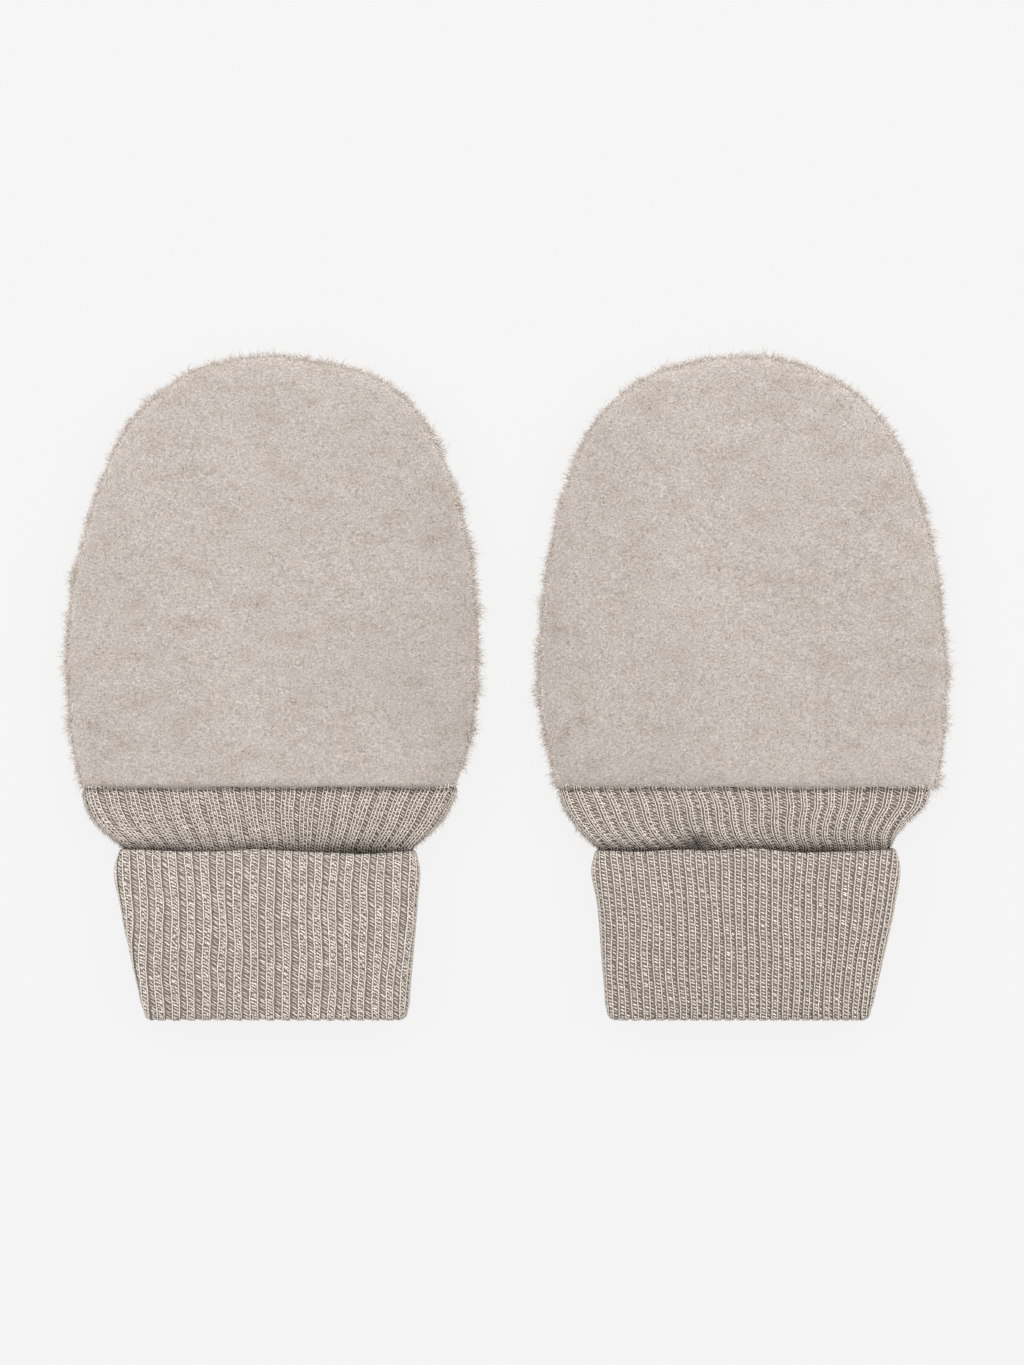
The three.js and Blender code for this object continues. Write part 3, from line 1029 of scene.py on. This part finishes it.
def stitches(knit, bare, seed):
    """The yarn on the upper side, and plainer yarn on the side that lies down.

    The last `bare` of the way has none.
    """
    rows = np.arange(1, int((knit.length - bare) / knit.pattern["row"]))
    first = math.floor(-knit.ribs / 4) - 1
    last = math.ceil(knit.ribs / 4) + 2
    upper = np.arange(first, last)
    under = np.arange(last, first + knit.ribs)
    made = []
    for name, ribs, detail in (("upper", upper, FINE), ("under", under, COARSE)):
        draw = np.random.default_rng(seed)
        parts = lines(knit, ribs, rows, detail, draw) + strokes(knit, ribs, rows, detail, draw)
        points, faces, tone = joined(parts)
        full_name = "_".join((knit.side, knit.part, name, "stitches"))
        made.append(mesh_object(full_name, points, faces, RIB, tone))
    return made


def end_fuzz(knit, name, end, count, reach, seed):
    """Fibres caught on one end of the band, `reach` ribs wide. They stand out a little."""
    draw = np.random.default_rng(seed)
    rib = end * knit.ribs / 4 - end * draw.uniform(-0.5, reach, count)
    way = draw.uniform(SEAM_WAY, knit.length - 1.5 * MM, count)
    roots = knit.place(rib, way, 0.1 * MM)
    normals = knit.outward(rib, way, np.zeros(count))
    headings = np.stack([end * draw.random(count), draw.normal(0, 1, count), 0 * way], -1)
    points, faces = hairs(
        roots,
        normals,
        unit(headings),
        lengths=draw.uniform(0.6, 1.6, count) * MM,
        lifts=draw.uniform(0, 0.5, count),
        curls=draw.normal(0, 0.8, count),
        widths=draw.uniform(0.09, 0.16, count) * MM,
        draw=draw,
    )
    points[:, 2] = np.maximum(points[:, 2], 0)
    tone = np.repeat(draw.normal(1.35, 0.15, count), 2 * len(TAPER))
    return mesh_object(name, points, faces, FLEECE, tone)


def cuff(side, seed):
    """One cuff: the band and the turn-up as one cloth, with the yarn and the fibres on it."""
    rows = sections(side + "_cuff")
    laid = rows[rows[:, 3] < 1e-5]
    above = rows[rows[:, 0] > laid[-1, 0] + 0.8 * MM]
    near_seam = np.exp(-(((above[-1, 0] - above[:, 0]) / BAND_REACH_DOWN) ** 2))
    above[:, 1:3] += near_seam[:, None] * BAND_REACH[side]
    band_halves = (above[:, 4] - above[:, 3]) / 2
    band = Knit(side, "band", above, band_path(above), band_halves)
    path = turn_up_path(laid, rows[0, 0])
    turn_up = Knit(side, "turn_up", laid, path, np.full(len(laid), MIDDLE))
    band_ground, band_tone = ground(band)
    turn_ground, turn_tone = ground(turn_up)
    points = np.concatenate([band_ground, turn_ground]).reshape(-1, 3)
    tone = np.concatenate([band_tone, turn_tone]).ravel()
    faces = grid_faces(len(band_ground) + len(turn_ground), band_ground.shape[1], True)
    cloth = mesh_object(side + "_cuff_knit", points, faces, RIB, tone)
    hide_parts(side + "_cuff")
    made = stitches(band, 0.0, seed)
    made += stitches(turn_up, UNSEEN, seed + 1)
    for number, (end, count, reach) in enumerate(END_FUZZ[side]):
        name = side + ("_left_end_fuzz" if end < 0 else "_right_end_fuzz")
        made.append(end_fuzz(band, name, end, count, reach, seed + 2 + number))


# Light, floor and camera


def floor():
    """A plain pale floor, which glows as an evenly lit backdrop does."""
    mesh = bpy.data.meshes.new("surface")
    reach = FLOOR_REACH
    corners = [(-reach, -reach, 0), (reach, -reach, 0), (reach, reach, 0), (-reach, reach, 0)]
    mesh.from_pydata(corners, [], [(0, 1, 2, 3)])
    piece = bpy.data.objects.new("surface", mesh)
    bpy.context.scene.collection.objects.link(piece)
    material, _, shader = node_tree("pale_floor")
    shader.inputs["Base Color"].default_value = (*grey(FLOOR_GREY), 1.0)
    shader.inputs["Roughness"].default_value = 1.0
    shader.inputs["Specular IOR Level"].default_value = 0.0
    shader.inputs["Emission Color"].default_value = (*grey(1.0), 1.0)
    shader.inputs["Emission Strength"].default_value = FLOOR_GLOW
    mesh.materials.append(material)
    piece.location.z = -FLOOR_DROP


def area_light(name, place, size, power):
    """A soft light that faces the origin."""
    data = bpy.data.lights.new(name, "AREA")
    data.size = size
    data.energy = power
    lamp = bpy.data.objects.new(name, data)
    lamp.location = place
    lamp.rotation_mode = "QUATERNION"
    lamp.rotation_quaternion = Vector(place).to_track_quat("Z", "Y")
    bpy.context.scene.collection.objects.link(lamp)


def studio():
    """Even light from all round, with three soft boxes."""
    world = bpy.data.worlds.new("soft_light")
    world.use_nodes = True
    sky = world.node_tree.nodes["Background"]
    sky.inputs["Color"].default_value = (*grey(1.0), 1.0)
    sky.inputs["Strength"].default_value = SKY
    bpy.context.scene.world = world
    for softbox in SOFTBOXES:
        area_light(**softbox)
    bpy.context.scene.view_settings.view_transform = "Standard"


def camera():
    """Straight above, with the photograph's frame and framing."""
    wide, high = PHOTO_PIXELS
    data = bpy.data.cameras.new("camera")
    data.lens = LENS
    data.sensor_width = SENSOR
    data.clip_start = 0.01
    data.clip_end = 20.0
    lens = bpy.data.objects.new("camera", data)
    lens.location = (
        (wide / 2 - ORIGIN_PIXEL[0]) * PIXEL,
        (ORIGIN_PIXEL[1] - high / 2) * PIXEL,
        OUTLINE_HEIGHT + LENS / SENSOR * high * PIXEL,
    )
    bpy.context.scene.collection.objects.link(lens)
    bpy.context.scene.camera = lens


camera()
studio()
floor()
for number, side in enumerate(SIDES):
    hand_part(side, 100 + 50 * number)
    cuff(side, 500 + 50 * number)
